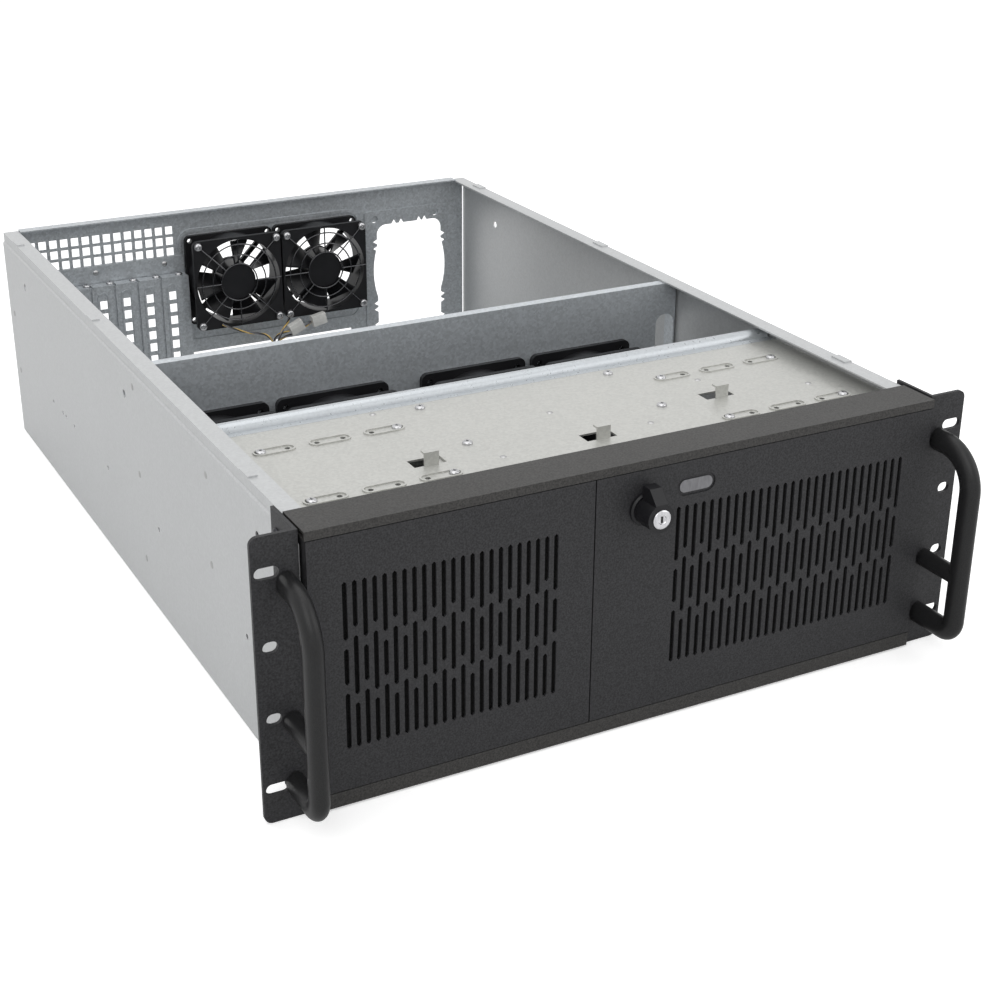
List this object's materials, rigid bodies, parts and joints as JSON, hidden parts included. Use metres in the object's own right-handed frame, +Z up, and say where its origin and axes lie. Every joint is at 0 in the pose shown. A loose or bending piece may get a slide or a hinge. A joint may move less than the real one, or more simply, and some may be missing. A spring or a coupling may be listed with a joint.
{
  "type": "rackmount server case",
  "caption": "Open-topped rackmount server case with hinged, lockable grille doors, bail handles, a drive deck, a fan wall and a vented rear panel.",
  "frame": {"origin": "under the middle of the whole case, at the height of its bottom face", "axes": "+X to the right seen from the front, +Y from the front doors to the rear wall, +Z up"},
  "size_m": [0.4826, 0.6924, 0.177],
  "materials": {
    "galvanised_steel": "satin zinc",
    "black_paint": "fine textured black",
    "satin_black_bar": "satin black",
    "black_plastic": "matt",
    "bright_fasteners": "zinc plated",
    "dark_fasteners": "black oxide",
    "bright_wire": "bright",
    "brass_posts": "turned",
    "filter_foam": "open foam",
    "brushed_badge": "brushed",
    "lead_sleeve": "matt",
    "pale_plastic": "matt"
  },
  "bodies": {
    "case": {"chassis_pan": "galvanised_steel", "rear_wall": "galvanised_steel", "supply_plate": "galvanised_steel", "slot_bracket": "galvanised_steel", "slot_cover_1": "galvanised_steel", "slot_cover_2": "galvanised_steel", "slot_cover_3": "galvanised_steel", "slot_cover_4": "galvanised_steel", "slot_cover_5": "galvanised_steel", "slot_cover_6": "galvanised_steel", "slot_cover_7": "galvanised_steel", "slot_screws": "bright_fasteners", "front_frame": "black_paint", "front_panel": "black_paint", "bay_covers": "black_paint", "ear_left": "black_paint", "ear_right": "black_paint", "ear_screws": "dark_fasteners", "handle_left": "satin_black_bar", "handle_right": "satin_black_bar", "deck": "galvanised_steel", "cross_bar": "galvanised_steel", "deck_screws": "bright_fasteners", "cage_left": "galvanised_steel", "cage_right": "galvanised_steel", "bay_cage": "galvanised_steel", "mid_wall": "galvanised_steel", "mid_fan_frame_1": "black_plastic", "mid_fan_frame_2": "black_plastic", "mid_fan_frame_3": "black_plastic", "mid_fan_frame_4": "black_plastic", "rear_fan_frame_1": "black_plastic", "rear_fan_frame_2": "black_plastic", "finger_guard_1": "bright_wire", "finger_guard_2": "bright_wire", "fan_screws": "bright_fasteners", "standoffs": "brass_posts", "hinge_pins": "dark_fasteners", "switch_block": "black_plastic", "fan_lead_1": "lead_sleeve", "fan_lead_2": "lead_sleeve", "lead_tie": "lead_sleeve", "lead_plugs": "pale_plastic"},
    "left_door": {"door_left": "black_paint", "filter_left": "filter_foam"},
    "right_door": {"door_right": "black_paint", "filter_right": "filter_foam", "badge_plate": "brushed_badge", "lock_base": "black_plastic"},
    "lock": {"lock_knob": "black_plastic", "key_cylinder": "bright_wire", "lock_cam": "bright_fasteners"},
    "power_key": {"power_button": "black_plastic"},
    "reset_key": {"reset_button": "black_plastic"},
    "mid_rotor_1": {"mid_fan_rotor_1": "black_plastic"},
    "mid_rotor_2": {"mid_fan_rotor_2": "black_plastic"},
    "mid_rotor_3": {"mid_fan_rotor_3": "black_plastic"},
    "mid_rotor_4": {"mid_fan_rotor_4": "black_plastic"},
    "rear_rotor_1": {"rear_fan_rotor_1": "black_plastic"},
    "rear_rotor_2": {"rear_fan_rotor_2": "black_plastic"}
  },
  "joints": [
    {"name": "left_door_hinge", "type": "hinge", "parent": "case", "child": "left_door", "pos_m": [-0.2095, -0.30425, 0.091], "axis": [0, 0, 1], "range_deg": [-90, 0]},
    {"name": "right_door_hinge", "type": "hinge", "parent": "case", "child": "right_door", "pos_m": [0.2095, -0.30425, 0.091], "axis": [0, 0, 1], "range_deg": [0, 90]},
    {"name": "lock_turn", "type": "hinge", "parent": "right_door", "child": "lock", "pos_m": [-0.001, -0.30375, 0.1465], "axis": [0, 1, 0], "range_deg": [-90, 0]},
    {"name": "power_push", "type": "slide", "parent": "case", "child": "power_key", "axis": [0, 1, 0], "range_m": [0, 0.002], "stiffness_N_per_m": 400, "springref_m": -0.0005},
    {"name": "reset_push", "type": "slide", "parent": "case", "child": "reset_key", "axis": [0, 1, 0], "range_m": [0, 0.002], "stiffness_N_per_m": 400, "springref_m": -0.0005},
    {"name": "mid_spin_1", "type": "hinge", "parent": "case", "child": "mid_rotor_1", "pos_m": [-0.16525, -0.029, 0.0935], "axis": [0, 1, 0], "continuous": true},
    {"name": "mid_spin_2", "type": "hinge", "parent": "case", "child": "mid_rotor_2", "pos_m": [-0.07505, -0.029, 0.0935], "axis": [0, 1, 0], "continuous": true},
    {"name": "mid_spin_3", "type": "hinge", "parent": "case", "child": "mid_rotor_3", "pos_m": [0.03565, -0.029, 0.0935], "axis": [0, 1, 0], "continuous": true},
    {"name": "mid_spin_4", "type": "hinge", "parent": "case", "child": "mid_rotor_4", "pos_m": [0.12585, -0.029, 0.0935], "axis": [0, 1, 0], "continuous": true},
    {"name": "rear_spin_1", "type": "hinge", "parent": "case", "child": "rear_rotor_1", "pos_m": [-0.02045, 0.332, 0.114], "axis": [0, 1, 0], "continuous": true},
    {"name": "rear_spin_2", "type": "hinge", "parent": "case", "child": "rear_rotor_2", "pos_m": [0.06105, 0.332, 0.114], "axis": [0, 1, 0], "continuous": true}
  ]
}
